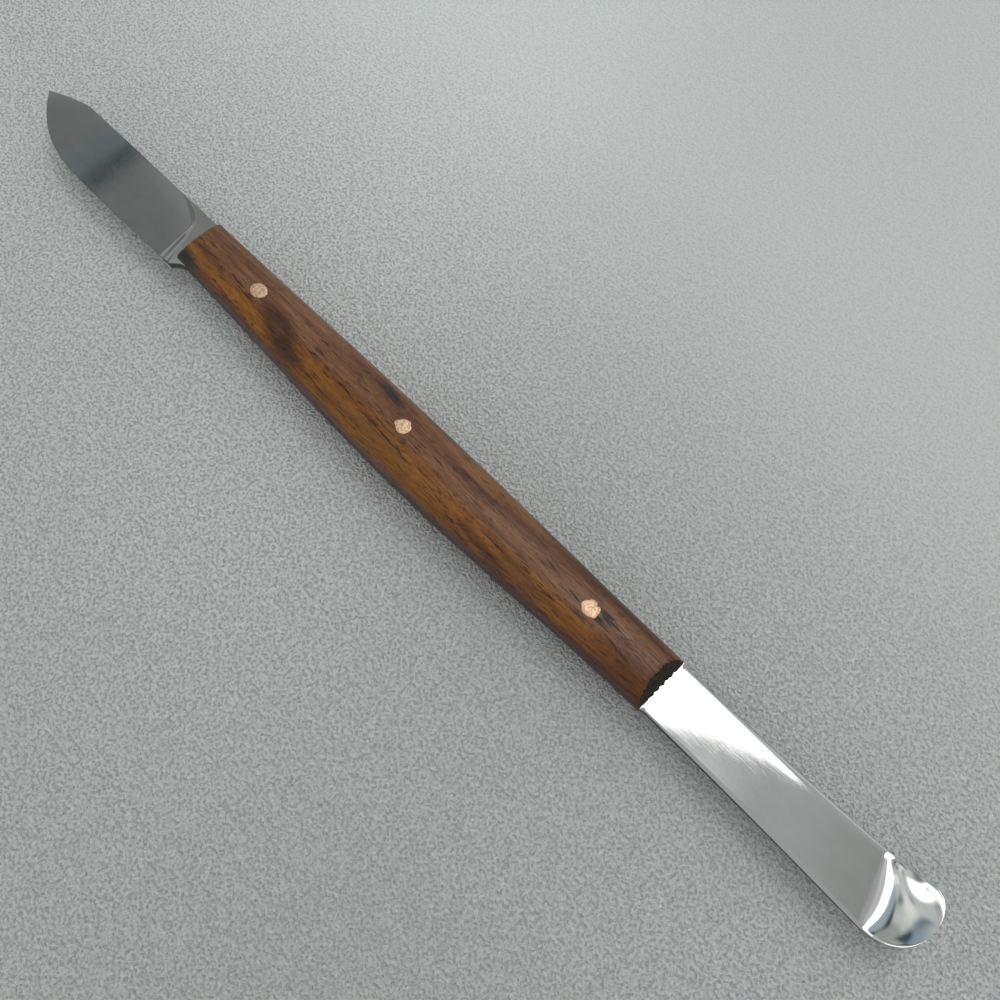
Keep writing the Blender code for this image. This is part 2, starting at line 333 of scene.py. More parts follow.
HAND_WAVES = 0.00003  # depth of the waves that hand filing leaves on the handle
HAND_WAVE_LENGTH = 0.007
END_EDGE_ROUND = 0.00018
END_EDGE_STEPS = 4
END_FACE_RINGS = (0.9, 0.78, 0.64, 0.5, 0.36, 0.22, 0.08)
SAW_MARK_DEPTH = 0.00025
SAW_MARK_PITCH = 0.0005
LOWER_SCALE_SEED = 0.031  # shifts the noise, so that the two scales differ


def scale_outline(s):
    """Points (y, height over the tang's middle) up one side, over the crown, down and back underneath."""
    depth = handle_half_depth(s)
    foot = math.asin((SCALE_BASE / depth) ** (SECTION_POWER / 2))
    angles = [foot + (math.pi / 2 - foot) * i / SCALE_SIDE_POINTS for i in range(SCALE_SIDE_POINTS)]
    sides = []
    for side in (SPINE_SIDE, EDGE_SIDE):
        width = handle_half_width(s, side)
        sides.append([(width * math.cos(a) ** (2 / SECTION_POWER),
                       depth * math.sin(a) ** (2 / SECTION_POWER)) for a in angles])
    left, right = -sides[1][0][0], sides[0][0][0]
    step = (right - left) / SCALE_UNDER_POINTS
    under = [(left + step * i, SCALE_BASE) for i in range(1, SCALE_UNDER_POINTS)]
    return sides[0] + [(0.0, depth)] + [(-y, z) for y, z in reversed(sides[1])] + under


def scale_ring(s, inset=0.0, share=1.0, rough=0.0, seed=0.0):
    """One section of a scale at s. inset draws it in, share shrinks it and rough wavers it along s."""
    width, depth = handle_half_width(s, SPINE_SIDE), handle_half_depth(s)
    ring = []
    for y, z in scale_outline(s):
        above = z - SCALE_BASE
        wave = HAND_WAVES * smooth_noise(Vector((s, y, z + seed)) / HAND_WAVE_LENGTH)
        y *= (1 - inset / width + wave / width) * share
        above *= 1 - (inset - wave) / (depth - SCALE_BASE)
        middle = 0.4 * (depth - SCALE_BASE)
        above = middle + (above - middle) * share
        along = HANDLE_MIDDLE + (s - HANDLE_MIDDLE) * (1 - SCALE_END_LEAN * above / (HANDLE_LENGTH / 2))
        if rough:
            along += rough * smooth_noise(Vector((y, above, seed)) / SAW_MARK_PITCH)
        ring.append(place(along, y, SCALE_BASE + above))
    return ring


def scale_mesh(name, seed):
    """An upper scale with rounded end edges and rough sawn end faces."""
    round_steps = [i / END_EDGE_STEPS * math.pi / 2 for i in range(END_EDGE_STEPS)]
    first, last = [], []
    for share in reversed(END_FACE_RINGS):
        first.append(scale_ring(BLADE_LENGTH, END_EDGE_ROUND, share, SAW_MARK_DEPTH, seed))
        last.append(scale_ring(HANDLE_END, END_EDGE_ROUND, share, SAW_MARK_DEPTH, seed))
    for turn in round_steps:
        in_by = END_EDGE_ROUND * (1 - math.cos(turn))
        inset = END_EDGE_ROUND * (1 - math.sin(turn))
        rough = SAW_MARK_DEPTH * math.cos(turn)
        first.append(scale_ring(BLADE_LENGTH + in_by, inset, 1.0, rough, seed))
        last.append(scale_ring(HANDLE_END - in_by, inset, 1.0, rough, seed))
    body = spread(BLADE_LENGTH + END_EDGE_ROUND, HANDLE_END - END_EDGE_ROUND, SCALE_STATIONS)
    body.append(HANDLE_END - END_EDGE_ROUND)
    sections = first + [scale_ring(s, seed=seed) for s in body] + last[::-1]
    mesh = lofted(name, sections)
    end_faces = len(END_FACE_RINGS) * len(sections[0])
    total = (len(sections) - 1) * len(sections[0])
    for polygon in mesh.polygons:
        if polygon.index < end_faces or polygon.index >= total - end_faces:
            polygon.material_index = 1
    return mesh


# ---------------------------------------------------------------- rivets

RIVET_AROUND = 120
RIVET_RINGS = 26
HEAD_DOME = 0.00006
HEAD_SINK = 0.00012
HAMMER_DEPTH = 0.00002
HAMMER_SIZE = 0.00035
SHAFT_RADIUS = 0.00112

# Each head is (half length, half width, lobes). A lobe is (direction in degrees from +X towards +Y,
# growth as a share of the radius, sharpness), and a negative growth is a notch.
RIVET_HEADS = {
    "rivet_blade_end": (1.36 * MM, 1.12 * MM, [(8, 0.10, 10), (200, 0.03, 3), (100, 0.02, 8)]),
    "rivet_middle": (1.20 * MM, 1.13 * MM, [
        (192, 0.34, 26), (86, 0.10, 14), (-52, 0.06, 18), (20, 0.05, 10),
    ]),
    "rivet_spatula_end": (1.20 * MM, 1.10 * MM, [
        (66, -0.26, 60), (108, 0.06, 20), (38, 0.08, 20),
        (144, -0.10, 90), (190, 0.10, 26), (-26, 0.16, 30),
    ]),
}


def head_reach(head, angle):
    """How far a peened head reaches from its centre in a direction."""
    half_length, half_width, lobes = head
    spread_x, spread_y = half_width * math.cos(angle), half_length * math.sin(angle)
    reach = half_length * half_width / math.hypot(spread_x, spread_y)
    for direction, growth, sharpness in lobes:
        facing = (1 + math.cos(angle - math.radians(direction))) / 2
        reach *= 1 + growth * facing ** (sharpness * 2)
    ragged = smooth_noise(Vector((math.cos(angle), math.sin(angle), half_length / MM)) * 4)
    return reach * (1 + 0.02 * ragged)


def rivet_mesh(name, centre_s, head):
    """A copper rivet whose two peened heads lie almost flush in the wood."""
    turns = [2 * math.pi * i / RIVET_AROUND for i in range(RIVET_AROUND)]

    def head_ring(share, up):
        ring = []
        for turn in turns:
            reach = head_reach(head, turn) * share
            s, y = centre_s + reach * math.cos(turn), reach * math.sin(turn)
            hammered = HAMMER_DEPTH * smooth_noise(Vector((s, y, up * 0.01)) / HAMMER_SIZE)
            edge = HEAD_DOME * share**6
            ring.append(place(s, y, up * (wood_height(s, y) + HEAD_DOME * 0.7 - edge + hammered)))
        return ring

    def wall_ring(radius_share, sink, up):
        ring = []
        for turn in turns:
            reach = head_reach(head, turn) * radius_share + SHAFT_RADIUS * (1 - radius_share)
            s, y = centre_s + reach * math.cos(turn), reach * math.sin(turn)
            ring.append(place(s, y, up * (wood_height(s, y) - sink)))
        return ring

    shares = [(i + 0.15) / RIVET_RINGS for i in range(RIVET_RINGS)] + [1.0]
    sections = [head_ring(share, 1) for share in shares]
    sections += [wall_ring(1.0, HEAD_SINK, 1), wall_ring(0.0, 3 * HEAD_SINK, 1)]
    sections += [wall_ring(0.0, 3 * HEAD_SINK, -1), wall_ring(1.0, HEAD_SINK, -1)]
    sections += [head_ring(share, -1) for share in reversed(shares)]
    return lofted(name, sections)


# ---------------------------------------------------------------- shader nodes


class Graph:
    """Adds shader nodes to a node tree. Any input may be a value or another node's output."""

    def __init__(self, tree):
        self.tree = tree

    def node(self, kind, inputs=None, **settings):
        made = self.tree.nodes.new(kind)
        for name, value in settings.items():
            setattr(made, name, value)
        for name, value in (inputs or {}).items():
            self.feed(made.inputs[name], value)
        return made

    def feed(self, socket, value):
        if isinstance(value, bpy.types.NodeSocket):
            self.tree.links.new(value, socket)
        else:
            socket.default_value = value

    def math(self, operation, first, second=0.0, clamp=False):
        inputs = {0: first, 1: second}
        return self.node("ShaderNodeMath", inputs, operation=operation, use_clamp=clamp).outputs[0]

    def add_vector(self, where, shift):
        return self.node("ShaderNodeVectorMath", {0: where, 1: shift}, operation="ADD").outputs[0]

    def split(self, vector):
        return self.node("ShaderNodeSeparateXYZ", {0: vector}).outputs

    def wandering(self, where, reach):
        """A smoothly changing shift of up to about half of reach (x, y, z)."""
        inputs = {"Vector": where, "Scale": 1.0, "Detail": 3.0}
        shift = self.node("ShaderNodeTexNoise", inputs).outputs["Color"]
        return self.stretch(self.add_vector(shift, (-0.5, -0.5, -0.5)), *reach)

    def noise(self, where, scale=1.0, detail=2.0, roughness=0.5, distortion=0.0):
        inputs = {"Vector": where, "Scale": scale, "Detail": detail, "Roughness": roughness,
                  "Distortion": distortion}
        return self.node("ShaderNodeTexNoise", inputs).outputs[0]

    def stretch(self, where, x, y, z):
        """Coordinates multiplied by a factor along each axis."""
        inputs = {0: where, 1: (x, y, z)}
        return self.node("ShaderNodeVectorMath", inputs, operation="MULTIPLY").outputs[0]

    def fade(self, value, low, high, to_low=0.0, to_high=1.0):
        """An S-curve from to_low, at low, to to_high, at high."""
        inputs = {"Value": value, "From Min": low, "From Max": high, "To Min": to_low, "To Max": to_high}
        return self.node("ShaderNodeMapRange", inputs, interpolation_type="SMOOTHSTEP").outputs[0]

    def mix(self, factor, first, second, blend="MIX"):
        made = self.node("ShaderNodeMix", data_type="RGBA", blend_type=blend)
        for socket, value in ((0, factor), (6, first), (7, second)):
            self.feed(made.inputs[socket], value)
        return made.outputs[2]

    def ramp(self, factor, stops):
        made = self.node("ShaderNodeValToRGB", {"Fac": factor})
        elements = made.color_ramp.elements
        while len(elements) < len(stops):
            elements.new(0.5)
        for element, (position, colour) in zip(elements, stops):
            element.position, element.color = position, colour
        return made.outputs[0]

    def patch(self, where, centre, half_sizes, turn=0.0, core=0.4):
        """1 inside an ellipsoid round centre and 0 outside it, fading from its core's share outwards."""
        local = self.node("ShaderNodeMapping", {
            "Vector": where, "Location": centre, "Rotation": (0, 0, turn), "Scale": half_sizes,
        }, vector_type="TEXTURE").outputs[0]
        distance = self.node("ShaderNodeVectorMath", {0: local}, operation="LENGTH").outputs["Value"]
        return self.fade(distance, core, 1.0, 1.0, 0.0)

    def bump(self, height, distance, strength=1.0, under=None):
        inputs = {"Height": height, "Distance": distance, "Strength": strength}
        if under is not None:
            inputs["Normal"] = under
        return self.node("ShaderNodeBump", inputs).outputs[0]

    def knife_coordinates(self):
        """Millimetres: x from the tip, y and z from the rivets' centre."""
        here = self.node("ShaderNodeTexCoord").outputs["Object"]
        return self.stretch(self.add_vector(here, (-TIP_X, -AXIS_Y, -AXIS_Z)), 1 / MM, 1 / MM, 1 / MM)


def new_material(name):
    """An empty Principled material, its graph and its shader."""
    material = bpy.data.materials.new(name)
    material.use_nodes = True
    return material, Graph(material.node_tree), material.node_tree.nodes["Principled BSDF"]


# ---------------------------------------------------------------- wood

WOOD_TOP = [(0.0, (0.075, 0.024, 0.011, 1)), (0.35, (0.160, 0.062, 0.027, 1)),
            (0.62, (0.240, 0.102, 0.046, 1)), (1.0, (0.330, 0.158, 0.078, 1))]
WOOD_ORANGE = [(0.0, (0.120, 0.034, 0.006, 1)), (0.4, (0.240, 0.082, 0.010, 1)),
               (0.7, (0.340, 0.128, 0.014, 1)), (1.0, (0.430, 0.180, 0.026, 1))]
# Painted shade and a painted reflection of the mat, for the low flank and the lower scale
WOOD_LOW_SHADE_AND_REFLECTION = [(0.0, (0.060, 0.024, 0.018, 1)), (0.5, (0.125, 0.052, 0.038, 1)),
              (1.0, (0.190, 0.090, 0.066, 1))]
WOOD_DARK = (0.028, 0.012, 0.008, 1)
WOOD_BLACK = (0.010, 0.008, 0.008, 1)
WOOD_STAIN = (0.020, 0.025, 0.022, 1)
WOOD_KNOT = (0.062, 0.018, 0.009, 1)
WOOD_EYE = (0.135, 0.062, 0.024, 1)
WOOD_PURPLE = (0.040, 0.022, 0.022, 1)
WOOD_AMBER = (0.270, 0.115, 0.026, 1)
WOOD_RED = (0.110, 0.028, 0.010, 1)

# Marks in the upper scale: from (x, y) to (x, y) in millimetres, half width, strength and colour
WOOD_MARKS = [
    ("amber by the spine", (94.0, 3.0), (113.0, 3.1), 0.80, 0.55, WOOD_AMBER),
    ("amber behind the heel", (43.0, -2.4), (56.0, -2.6), 0.70, 0.45, WOOD_AMBER),
    ("amber past the knot", (72.0, -3.3), (100.0, -3.4), 0.75, 0.55, WOOD_AMBER),
    ("knot", (58.2, -0.7), (69.0, -3.0), 1.90, 0.85, WOOD_KNOT),
    ("knot's far side", (62.5, -3.0), (71.0, -4.0), 0.95, 0.75, WOOD_KNOT),
    ("knot's upper side", (59.5, -0.3), (67.0, -1.4), 0.60, 0.60, WOOD_KNOT),
    ("knot's eye", (62.8, -2.0), (64.6, -2.3), 0.95, 0.90, WOOD_EYE),
    ("spine streak", (79.6, 3.1), (86.0, 1.7), 0.60, 1.0, WOOD_PURPLE),
    ("spine streak's shade", (77.0, 2.9), (90.0, 1.4), 0.95, 0.45, WOOD_PURPLE),
    ("spot before the rivet", (77.5, 0.6), (79.0, 0.4), 0.55, 0.45, WOOD_PURPLE),
    ("long pore line", (74.6, -1.4), (81.2, -2.3), 0.13, 1.0, WOOD_DARK),
    ("long pore line", (80.8, -2.3), (93.5, -3.1), 0.13, 1.0, WOOD_DARK),
    ("short pore line", (69.0, 0.0), (73.5, -0.9), 0.12, 0.9, WOOD_DARK),
    ("short pore line", (51.0, -0.9), (55.2, -1.25), 0.13, 0.9, WOOD_DARK),
    ("flank line", (104.6, -2.55), (111.4, -2.75), 0.17, 1.0, WOOD_BLACK),
    ("flank line", (116.6, -2.5), (119.2, -2.45), 0.14, 0.9, WOOD_BLACK),
    ("flank smudge", (100.0, -3.6), (113.0, -4.4), 0.50, 0.55, WOOD_KNOT),
    ("crack", (119.0, -0.2), (121.6, -0.35), 0.10, 1.0, WOOD_BLACK),
    ("chip", (123.2, 1.0), (126.8, 0.1), 0.42, 1.0, WOOD_BLACK),
    ("chip's foot", (122.9, -0.30), (125.2, -0.45), 0.36, 1.0, WOOD_BLACK),
    ("dent", (121.2, -1.55), (123.6, -1.75), 0.34, 0.65, WOOD_DARK),
    ("scratched patch", (125.6, -1.1), (129.8, -1.6), 0.20, 0.75, WOOD_DARK),
    ("scratched patch", (127.4, 0.4), (131.0, 0.0), 0.14, 0.60, WOOD_DARK),
    ("spine side's band", (108.0, 3.3), (136.0, 3.4), 0.95, 0.55, WOOD_DARK),
    ("stain at the heel", (40.0, -3.9), (46.4, -4.1), 1.35, 1.0, WOOD_STAIN),
]
MARK_HEIGHT = 3.0  # middle height of the marks over the tang, in millimetres
MARK_REACH = 3.6


def wood_material():
    material, graph, shader = new_material("oiled_hardwood")
    here = graph.knife_coordinates()
    # Slow wandering of the grain, so that nothing runs quite parallel to the handle
    bent = graph.add_vector(here, graph.wandering(graph.stretch(here, 0.07, 0.3, 0.3), (3.0, 1.6, 1.6)))
    along, side, height = graph.split(bent)

    figure = graph.noise(graph.stretch(bent, 0.055, 0.85, 0.85), detail=5, roughness=0.62)
    fibres = graph.noise(graph.stretch(bent, 0.16, 7.0, 7.0), detail=3, roughness=0.6)
    mottle = graph.noise(graph.stretch(bent, 0.22, 0.9, 0.9), detail=3)
    tone = graph.math("ADD", graph.math("MULTIPLY", figure, 1.6), graph.math("MULTIPLY", fibres, 0.85))
    tone = graph.math("ADD", tone, graph.math("MULTIPLY", mottle, 0.55))
    grit = graph.noise(graph.stretch(bent, 1.6, 4.5, 4.5), detail=3, roughness=0.7)
    tone = graph.math("ADD", tone, graph.math("MULTIPLY", grit, 0.5))
    tone = graph.math("SUBTRACT", tone, 1.22, clamp=True)

    # Growth layers: brown over the crown and an orange layer down the edge side's flank. The purple-brown
    # below is painted shade and a painted reflection of the grey mat
    layer = graph.math("ADD", side, graph.math("MULTIPLY", height, -0.12))
    orange = graph.fade(layer, -1.5, -2.7)
    slow = graph.noise(graph.stretch(here, 0.045, 0.12, 0.12), detail=2)
    orange = graph.math("MULTIPLY", orange, graph.fade(slow, 0.25, 0.55, 0.55, 1.0))
    low_shade_and_reflection = graph.math("MULTIPLY", graph.fade(height, 2.7, 1.4), graph.fade(side, 0.0, -2.0))
    colour = graph.mix(orange, graph.ramp(tone, WOOD_TOP), graph.ramp(tone, WOOD_ORANGE))
    # Painted shade and reflection below the orange layer
    colour = graph.mix(low_shade_and_reflection, colour, graph.ramp(tone, WOOD_LOW_SHADE_AND_REFLECTION))
    red_end = graph.math("MULTIPLY", graph.fade(along, 118.0, 133.0), graph.fade(side, 0.5, -2.2))
    colour = graph.mix(graph.math("MULTIPLY", red_end, 0.7), colour, WOOD_RED)

    # Marks with ragged, fibrous outlines
    frayed = graph.add_vector(here, graph.wandering(graph.stretch(here, 0.5, 3.2, 3.2), (5.0, 0.8, 0.0)))
    for _, start, end, half_width, strength, paint in WOOD_MARKS:
        centre = ((start[0] + end[0]) / 2, (start[1] + end[1]) / 2, MARK_HEIGHT)
        run, drop = end[0] - start[0], end[1] - start[1]
        reach = (math.hypot(run, drop) / 2 + half_width, half_width * 1.5, MARK_REACH)
        mark = graph.patch(frayed, centre, reach, math.atan2(drop, run), core=0.35)
        colour = graph.mix(graph.math("MULTIPLY", mark, strength), colour, paint)

    # Open pores: short dark dashes along the grain, gathered in loose rows
    dashes = graph.noise(graph.stretch(bent, 0.42, 6.5, 6.5), detail=1.5, roughness=0.55)
    rows = graph.noise(graph.stretch(bent, 0.10, 1.1, 1.1), detail=2)
    pores = graph.math("MULTIPLY", graph.fade(dashes, 0.56, 0.64), graph.fade(rows, 0.38, 0.56))
    fine = graph.noise(graph.stretch(bent, 0.9, 13.0, 13.0), detail=1)
    pores = graph.math("MAXIMUM", pores, graph.fade(fine, 0.62, 0.74, 0.0, 0.6))
    colour = graph.mix(graph.math("MULTIPLY", pores, 0.85), colour, WOOD_DARK)
    graph.feed(shader.inputs["Base Color"], colour)

    # A thin worn varnish over it
    worn = graph.noise(graph.stretch(here, 0.35, 0.8, 0.8), detail=4, roughness=0.65)
    graph.feed(shader.inputs["Roughness"], graph.fade(worn, 0.3, 0.7, 0.34, 0.52))
    shader.inputs["Specular IOR Level"].default_value = 0.3
    shader.inputs["Coat Weight"].default_value = 0.15
    shader.inputs["Coat Roughness"].default_value = 0.25
    crackle = graph.noise(graph.stretch(here, 3.0, 7.0, 7.0), detail=2)
    relief = graph.bump(pores, -0.04 * MM, 1.0)
    relief = graph.bump(fibres, 0.02 * MM, 1.0, relief)
    relief = graph.bump(crackle, 0.02 * MM, 1.0, relief)
    graph.feed(shader.inputs["Normal"], relief)
    return material


def end_grain_material():
    """Dark sawn end grain, darkened further with painted shade, with the saw's marks across it."""
    material, graph, shader = new_material("end_grain_and_shade")
    here = graph.knife_coordinates()
    dots = graph.noise(here, 7.0, detail=3, roughness=0.7)
    saw = graph.noise(graph.stretch(here, 0.0, 6.0, 1.0), 1.4, detail=2)
    tone = graph.math("ADD", graph.math("MULTIPLY", dots, 0.6), graph.math("MULTIPLY", saw, 0.5))
    # The end grain's own dark colour, with painted shade making it near black
    stops = [(0.38, (0.005, 0.004, 0.003, 1)), (0.55, (0.022, 0.017, 0.013, 1)),
             (0.72, (0.085, 0.070, 0.056, 1))]
    graph.feed(shader.inputs["Base Color"], graph.ramp(tone, stops))
    shader.inputs["Roughness"].default_value = 0.85
    graph.feed(shader.inputs["Normal"], graph.bump(tone, 0.12 * MM))
    return material


# ---------------------------------------------------------------- metals

STEEL_POLISHED = (0.62, 0.625, 0.62, 1)
STEEL_HAZED = (0.58, 0.585, 0.58, 1)
STEEL_WALL_SHADE = (0.12, 0.117, 0.115, 1)  # the narrow sides, which were never polished; their dark colour is painted shade


def steel_material():
    """Polished steel with fine lengthwise scratches and dull narrow sides, darkened with painted shade.
    """
    material, graph, shader = new_material("polished_steel")
    here = graph.knife_coordinates()
    facing = graph.split(graph.node("ShaderNodeNewGeometry").outputs["True Normal"])
    # The narrow sides: painted shade in their colour, real dullness in their roughness
    wall = graph.fade(graph.math("ABSOLUTE", facing[2]), 0.75, 0.5)
    haze = graph.noise(graph.stretch(here, 0.25, 0.5, 0.5), detail=4)
    colour = graph.mix(graph.fade(haze, 0.3, 0.7), STEEL_POLISHED, STEEL_HAZED)
    graph.feed(shader.inputs["Base Color"], graph.mix(wall, colour, STEEL_WALL_SHADE))
    shader.inputs["Metallic"].default_value = 1.0
    scratches = graph.noise(graph.stretch(here, 0.22, 16.0, 16.0), detail=3, roughness=0.7)
    crossing = graph.noise(graph.stretch(here, 2.2, 3.0, 3.0), 3.0, detail=2)
    smear = graph.math("MULTIPLY", graph.fade(scratches, 0.45, 0.75), 0.035)
    polish = graph.math("ADD", graph.fade(haze, 0.3, 0.75, 0.025, 0.06), smear)
    wall_roughness = graph.math("MULTIPLY", wall, 0.5)
    graph.feed(shader.inputs["Roughness"], graph.math("MAXIMUM", polish, wall_roughness))
    relief = graph.bump(scratches, 0.0008 * MM)
    unevenness = graph.noise(graph.stretch(here, 0.18, 0.4, 0.4), detail=1)
    relief = graph.bump(unevenness, 0.0012 * MM, 1.0, relief)
    relief = graph.bump(crossing, 0.0003 * MM, 1.0, relief)
    graph.feed(shader.inputs["Normal"], relief)
    return material


def copper_material():
    """Peened copper: pale hammered metal, darker in its hollows."""
    material, graph, shader = new_material("peened_copper")
    here = graph.knife_coordinates()
    hollows = graph.noise(here, 3.2, detail=4, roughness=0.65)
    stops = [(0.30, (0.42, 0.25, 0.14, 1)), (0.48, (0.82, 0.55, 0.37, 1)), (0.75, (0.95, 0.75, 0.55, 1))]
    graph.feed(shader.inputs["Base Color"], graph.ramp(hollows, stops))
    shader.inputs["Metallic"].default_value = 1.0
    graph.feed(shader.inputs["Roughness"], graph.fade(hollows, 0.3, 0.7, 0.55, 0.36))
    relief = graph.bump(hollows, 0.05 * MM)
    relief = graph.bump(graph.noise(here, 12.0, detail=2), 0.01 * MM, 1.0, relief)
    graph.feed(shader.inputs["Normal"], relief)
    return material


# ---------------------------------------------------------------- mat, light and camera

FLOOR_HALF = 1.5
FLOOR_PALE = [(0.920, 0.950, 0.937, 1), (0.950, 0.978, 0.968, 1)]
# Painted shade towards the scoop
FLOOR_SHADE_TOWARDS_SCOOP = (0.66, 0.685, 0.675, 1)
# Painted shade in the hollows of the grain
FLOOR_CREASE_SHADE = (0.52, 0.54, 0.53, 1)
# Painted shade before the cutting edge
FLOOR_SHADE_BEFORE_EDGE = (0.44, 0.45, 0.435, 1)


def floor_material():
    """A pale vinyl mat with a fine pebbled grain."""
    material, graph, shader = new_material("pale_grained_mat")
    here = graph.node("ShaderNodeTexCoord").outputs["Object"]
    here = graph.stretch(here, 1 / MM, 1 / MM, 1 / MM)
    cloud = graph.noise(here, 0.02, detail=3)
    base = graph.mix(graph.fade(cloud, 0.3, 0.7), *FLOOR_PALE)
    # Painted shade: the mat is darker towards the scoop and before the cutting edge. Its grain is
    # smoother past the spine
    along, side, _ = graph.split(here)
    lean = graph.math("ADD", graph.math("MULTIPLY", along, 2.8), side)
    base = graph.mix(graph.fade(lean, -80.0, 90.0, 0.0, 0.5), base, FLOOR_SHADE_TOWARDS_SCOOP)
    pebbles = graph.noise(here, 2.3, detail=2.5, roughness=0.5, distortion=0.3)
    grained = graph.fade(side, 75.0, 5.0, 0.35, 1.0)
    # Painted shade darkens the hollows of the pebbled grain
    crease_shade = graph.math("MULTIPLY", graph.fade(pebbles, 0.34, 0.60, 0.9, 0.0), grained)
    base = graph.mix(crease_shade, base, FLOOR_CREASE_SHADE)
    # Painted shade, darker before the cutting edge
    base = graph.mix(graph.fade(side, 5.0, -75.0, 0.0, 0.34), base, FLOOR_SHADE_BEFORE_EDGE)
    graph.feed(shader.inputs["Base Color"], base)
    shader.inputs["Roughness"].default_value = 0.7
    shader.inputs["Specular IOR Level"].default_value = 0.2
    relief = graph.bump(graph.math("MULTIPLY", pebbles, grained), 0.85 * MM)
    relief = graph.bump(graph.noise(here, 0.5, detail=2), 0.05 * MM, 1.0, relief)
    graph.feed(shader.inputs["Normal"], relief)
    return material


def add_floor():
    mesh = bpy.data.meshes.new("mat")
    corners = [(x * FLOOR_HALF, y * FLOOR_HALF, 0) for x, y in ((-1, -1), (1, -1), (1, 1), (-1, 1))]
    mesh.from_pydata(corners, [], [(0, 1, 2, 3)])
    mesh.materials.append(floor_material())
    floor = bpy.data.objects.new("mat", mesh)
    bpy.context.scene.collection.objects.link(floor)


# The room's light by direction, given flat as (x / z, y / z). A lamp overhead has curved, soft borders.
ROOM_LIGHT = (0.50, 0.51, 0.51, 1)
LAMP_LIGHT = (4.2, 4.18, 4.12, 1)
LAMP_NEAR, LAMP_FAR = -0.1, 0.76  # along y / z
LAMP_FAR_SLANT = 3.0  # the far border comes nearer by this much for each unit of x / z
LAMP_LEFT = -0.10  # along x / z, where the left border bows in
LAMP_BOW, LAMP_BOW_AT, LAMP_BOW_MOST = 3.5, 0.2, 0.12
LAMP_RIGHT, LAMP_RIGHT_GROWTH = -0.025, 0.145
LAMP_RIGHT_FROM, LAMP_RIGHT_TO = 0.235, 0.325
LAMP_RIGHT_SOFT = (0.035, 0.010)
LAMP_LEFT_SOFT = 0.006
LAMP_NEAR_SOFT = 0.02
LAMP_FAR_SOFT = 0.04
HORIZON_UP = 0.05  # directions lower than this keep the light of this height

# Soft shapes of the room: centre, half sizes, turn in degrees, share of the sharp core and colour
ROOM_SHAPES = [
    ("wall past the handle", (-1.50, 0.45), (1.00, 0.55), 0, 0.60, (0.40, 0.415, 0.40, 1)),
    ("wall behind the tip", (-1.12, -0.15), (0.80, 0.42), 0, 0.80, (0.205, 0.212, 0.210, 1)),
    ("wall over the ricasso", (-0.83, 0.30), (0.12, 0.085), 0, 0.60, (0.270, 0.275, 0.265, 1)),
    ("window frame", (-0.960, 0.16), (0.0135, 0.09), 0, 0.70, (0.020, 0.052, 0.066, 1)),
    ("window frame's edge", (-1.01, 0.15), (0.035, 0.10), 0, 0.30, (0.170, 0.205, 0.215, 1)),
    ("low dark wall", (-2.70, 0.20), (0.70, 0.90), 0, 0.70, (0.17, 0.20, 0.21, 1)),
    ("pale beyond the lamp", (0.0, 1.15), (0.50, 0.60), 0, 0.55, (0.74, 0.76, 0.76, 1)),
    ("dim past the lamp", (0.27, 0.30), (0.14, 0.25), 0, 0.20, (0.36, 0.37, 0.355, 1)),
    ("glow beside the lamp", (0.045, 0.225), (0.080, 0.050), 30, 0.10, (0.82, 0.83, 0.84, 1)),
    ("pale wall", (-0.33, 0.00), (0.20, 0.38), 0, 0.75, (0.74, 0.77, 0.74, 1)),
    ("pale wall's middle", (-0.33, 0.03), (0.10, 0.09), 0, 0.20, (1.02, 1.05, 0.97, 1)),
    ("grey over the middle", (-0.29, 0.25), (0.09, 0.13), 0, 0.40, (0.46, 0.49, 0.46, 1)),
    ("blue beside the lamp", (-0.145, 0.18), (0.075, 0.14), 0, 0.60, (0.46, 0.55, 0.61, 1)),
    ("blue far off", (-0.42, 0.16), (0.050, 0.19), -12, 0.50, (0.36, 0.47, 0.55, 1)),
    ("dark frame's shade", (-0.24, 0.07), (0.036, 0.075), -38, 0.10, (0.24, 0.28, 0.29, 1)),
    ("dark frame", (-0.214, 0.18), (0.030, 0.100), 17, 0.40, (0.05, 0.08, 0.09, 1)),
    ("second frame's tail", (-0.43, 0.02), (0.030, 0.120), -25, 0.20, (0.19, 0.25, 0.30, 1)),
    ("second dark frame", (-0.374, 0.20), (0.033, 0.160), -11, 0.40, (0.05, 0.08, 0.09, 1)),
    ("dull spot", (-0.34, -0.05), (0.035, 0.035), 0, 0.10, (0.40, 0.43, 0.41, 1)),
    ("second window", (-0.385, -0.22), (0.040, 0.130), -24, 0.60, (3.2, 3.2, 3.15, 1)),
    ("the one who looks", (0.75, -0.62), (0.50, 0.50), 0, 0.40, (0.16, 0.16, 0.16, 1)),
]


